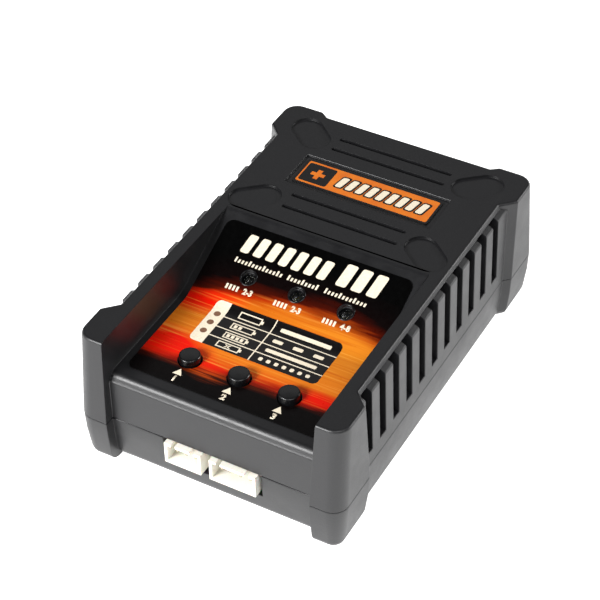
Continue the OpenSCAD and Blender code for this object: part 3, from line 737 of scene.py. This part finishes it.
def panel_print():
    """Generic marks on the control label: cells, scales, a lamp table and plain numbers."""
    pale = []
    # A row of leaning cells across the top
    cells = [(-18.6 + 3.45 * k, 2.3, 4.7) for k in range(7)]
    cells += [(7.3 + 4.05 * k, 2.8, 5.6) for k in range(3)]
    for x, wide, tall in cells:
        pale.append(patch(x, x + wide, -3.9, -3.9 + tall, lean=tall * 0.17, radius=0.55))
    # Scale marks under it
    tick = 0.95
    for x0, x1 in ((-18.6, -5.6), (-4.2, 4.4), (5.8, 17.6)):
        count = round((x1 - x0) / tick)
        for k in range(count):
            x = x0 + k * tick
            tall = 1.25 if k % 4 == 0 else 0.85
            pale.append(patch(x, x + 0.5, -6.5, -6.5 + tall, lean=0.12))
    button_pitch = (middle("button_3").x - middle("button_2").x) / MM
    for k, text in ((-1, "2-3"), (0, "2-3"), (1, "4-8")):
        x = k * button_pitch
        pale.append(numeral(text, x + 1.6, -13.0, 1.9))
        for j in range(4):
            pale.append(patch(x - 4.4 + j * tick, x - 3.85 + j * tick, -13.0, -11.75))
    for k in (-1, 0, 1):
        x = k * button_pitch - 0.2
        # A triangle is a patch with its rear corners drawn together
        triangle = patch(x - 1.2, x + 1.2, -41.9, -39.9)
        for vert in triangle.data.vertices:
            if vert.co.y > -40.5 * MM:
                vert.co.x = x * MM + (0.02 * MM if vert.co.x > x * MM else -0.02 * MM)
        pale.append(triangle)
        pale.append(numeral(str(k + 2), x + 0.1, -44.1, 2.5))
    # Lamp table: a pale tab on the left, then rows on a dark ground
    tab_x, table_x, table_end = -17.5, -13.7, 16.4
    front, rear = -30.1, -15.9
    backing = [patch(table_x, table_end, front, rear, radius=1.3, corners="bd")]
    pale.append(patch(tab_x, table_x, front, rear, radius=1.3, corners="ac"))
    lines = (-19.9, -23.5, -26.8)
    table = [patch(table_x, table_end, y - 0.14, y + 0.14) for y in lines]
    table.append(patch(-1.5, -1.2, front, rear))
    rows = (-17.9, -21.7, -25.15, -28.45)
    for row, y in enumerate(rows):
        x0, x1, high = -10.6, -4.6, 1.0
        table.append(patch(x0, x1, y + high - 0.3, y + high))
        table.append(patch(x0, x1, y - high, y - high + 0.3))
        table.append(patch(x0, x0 + 0.3, y - high + 0.3, y + high - 0.3))
        table.append(patch(x1 - 0.3, x1, y - high + 0.3, y + high - 0.3))
        table.append(patch(x1, x1 + 0.5, y - 0.45, y + 0.45))
        for k in range((0, 2, 4, 0)[row]):
            table.append(patch(x0 + 0.75 + k * 1.2, x0 + 1.55 + k * 1.2, y - 0.5, y + 0.5))
        if row == 3:
            table.append(patch(x0 + 2.0, x0 + 2.5, y - 0.5, y + 0.5, lean=1.2))
            table.append(patch(x0 + 3.2, x0 + 3.7, y - 0.5, y + 0.5, lean=-1.2))
        dashes, long = ((1, 13.4), (3, 2.6), (1, 13.4), (7, 1.0))[row]
        gap = (13.4 - long) / max(dashes - 1, 1)
        for k in range(dashes):
            x = 0.6 + k * gap
            table.append(patch(x, x + long, y - 0.55, y + 0.55, radius=0.3))
    dots = [disc(-15.6, -23.0 + 3.2 * k, 0.85) for k in (-1, 0, 1)]
    printed("table_backing", backing, black_ink, label_surface, 0)
    printed("panel_marks", pale, cream_ink, label_surface, 0)
    printed("table_marks", table, cream_ink, label_surface, 1)
    printed("tab_dots", dots, brown_ink, label_surface, 1)


def plate_print():
    """The name plate carries a dark block with a plus sign, and a row of leaning cells."""
    def top(y):
        return PLATE_HIGH.z
    y = (PLATE_LOW.y + PLATE_HIGH.y) / 2 / MM
    block = [patch(-17.6, -9.9, y - 3.6, y + 3.6, radius=0.6)]
    sign = [patch(-15.6, -11.9, y - 0.6, y + 0.6), patch(-14.35, -13.15, y - 1.85, y - 0.6),
            patch(-14.35, -13.15, y + 0.6, y + 1.85)]
    rims, cores = [], []
    for k in range(9):
        x = -8.2 + 2.75 * k
        rims.append(patch(x - 0.35, x + 2.25, y - 2.5, y + 2.5, lean=0.9, radius=0.7))
        cores.append(patch(x + 0.1, x + 1.8, y - 2.05, y + 2.05, lean=0.75, radius=0.5))
    # The plate is black, and the orange field stops 0.6 mm short of its edge: this black rim is
    # painted shade, the shadow that the recess's wall casts on the plate's edge
    field = [patch(PLATE_LOW.x / MM + 0.6, PLATE_HIGH.x / MM - 0.6,
                   PLATE_LOW.y / MM + 0.6, PLATE_HIGH.y / MM - 0.6, radius=0.5)]
    printed("plate_field", field, plate_orange, top, 0)
    printed("plate_block", block + rims, black_ink, top, 1)
    printed("plate_cells", cores, cream_ink, top, 2)
    printed("plate_sign", sign, plate_orange, top, 2)


panel_print()
plate_print()

# ---------------------------------------------------------------- inside the case

inside = {
    "control_board": board_green, "main_board": board_green, "link_header": chip_epoxy,
    "plunger_1": acetal_white, "plunger_2": acetal_white, "plunger_3": acetal_white,
    "switch_body_1": switch_plastic, "switch_body_2": switch_plastic,
    "switch_body_3": switch_plastic, "fuse": fuse_tube, "bridge_rectifier": chip_epoxy,
    "mains_choke": copper_turns, "transformer_core": ferrite_grey,
    "transformer_winding": winding_tape, "heat_sink": extruded_aluminium,
    "power_transistor": chip_epoxy, "output_diode": chip_epoxy,
    "output_inductor": ferrite_grey, "microcontroller": chip_epoxy,
    "board_screws": zinc_steel, "control_screws": zinc_steel,
}
for name, material in inside.items():
    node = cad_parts[name]
    node.data.materials.clear()
    node.data.materials.append(material)
for name, dark, light, stripe in (("bulk_capacitor", "#141d3c", "#1f2b55", "#9aa3b5"),
                                  ("output_capacitors", "#241c38", "#30274a", "#a8a2b8")):
    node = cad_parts[name]
    node.data.materials.clear()
    node.data.materials.append(sleeve("shrunk sleeve of " + name, dark, light, stripe,
                                      middle(name)))

# ---------------------------------------------------------------- studio and camera


def studio():
    bpy.ops.object.select_all(action="DESELECT")
    bpy.ops.mesh.primitive_plane_add(size=6, location=(0, 0, 0))
    floor = newest("studio_floor")
    # Matt white board, a little uneven, lit from beneath as well so that it stays pale
    material, shader = finish("matt white board", Roughness=0.9, Emission_Strength=1.0,
                              Emission_Color=(1, 1, 1, 1))
    mottle = grain_bump(material, shader, 4 * MM, 0.02 * MM)
    link(material, shader, Base_Color=stops(material, mottle, [(0.3, "#e6e6e6"),
                                                               (0.7, "#ebebeb")]))
    floor.data.materials.append(material)


def softbox(name, place, aim, wide, high, power, colour="#ffffff"):
    bpy.ops.object.light_add(type="AREA", location=place)
    light = bpy.context.view_layer.objects.active
    light.name = name
    light.data.shape = "RECTANGLE"
    light.data.size = wide
    light.data.size_y = high
    light.data.energy = power
    light.data.color = linear(colour)[:3]
    light.rotation_euler = (Vector(aim) - Vector(place)).to_track_quat("-Z", "Y").to_euler()


studio()
softbox("overhead_box", (0.40, -0.35, 0.75), (0, -0.01, 0.03), 0.5, 0.4, 3)
softbox("front_left_box", (-0.34, -0.70, 0.50), (0, 0, 0.02), 0.36, 0.30, 13)
softbox("rear_right_box", (0.66, 0.62, 0.40), (0, 0, 0.02), 0.4, 0.2, 5)
softbox("rear_left_box", (-0.42, 0.75, 0.80), (0, 0, 0.02), 0.7, 0.5, 0.6)

world = bpy.data.worlds.new("studio_air")
bpy.context.scene.world = world
world.use_nodes = True
world.node_tree.nodes["Background"].inputs["Color"].default_value = linear("#ffffff")
world.node_tree.nodes["Background"].inputs["Strength"].default_value = 0.06
bpy.context.scene.view_settings.view_transform = "Standard"

# A long lens from the front right, 42 degrees above the charger's top
camera_data = bpy.data.cameras.new("studio_camera")
camera_data.sensor_width = 36
camera_data.lens = 119.64
camera_data.clip_start = 0.01
camera = bpy.data.objects.new("studio_camera", camera_data)
bpy.context.scene.collection.objects.link(camera)
heading = Matrix.Rotation(math.radians(29.648), 4, "Z")
tilt = Matrix.Rotation(math.radians(90 - 41.735), 4, "X")
roll = Matrix.Rotation(math.radians(-1.1225), 4, "Z")
camera.matrix_world = (Matrix.Translation((0.17456, -0.31422, CASE_HIGH.z + 0.30579))
                       @ heading @ tilt @ roll)
bpy.context.scene.camera = camera
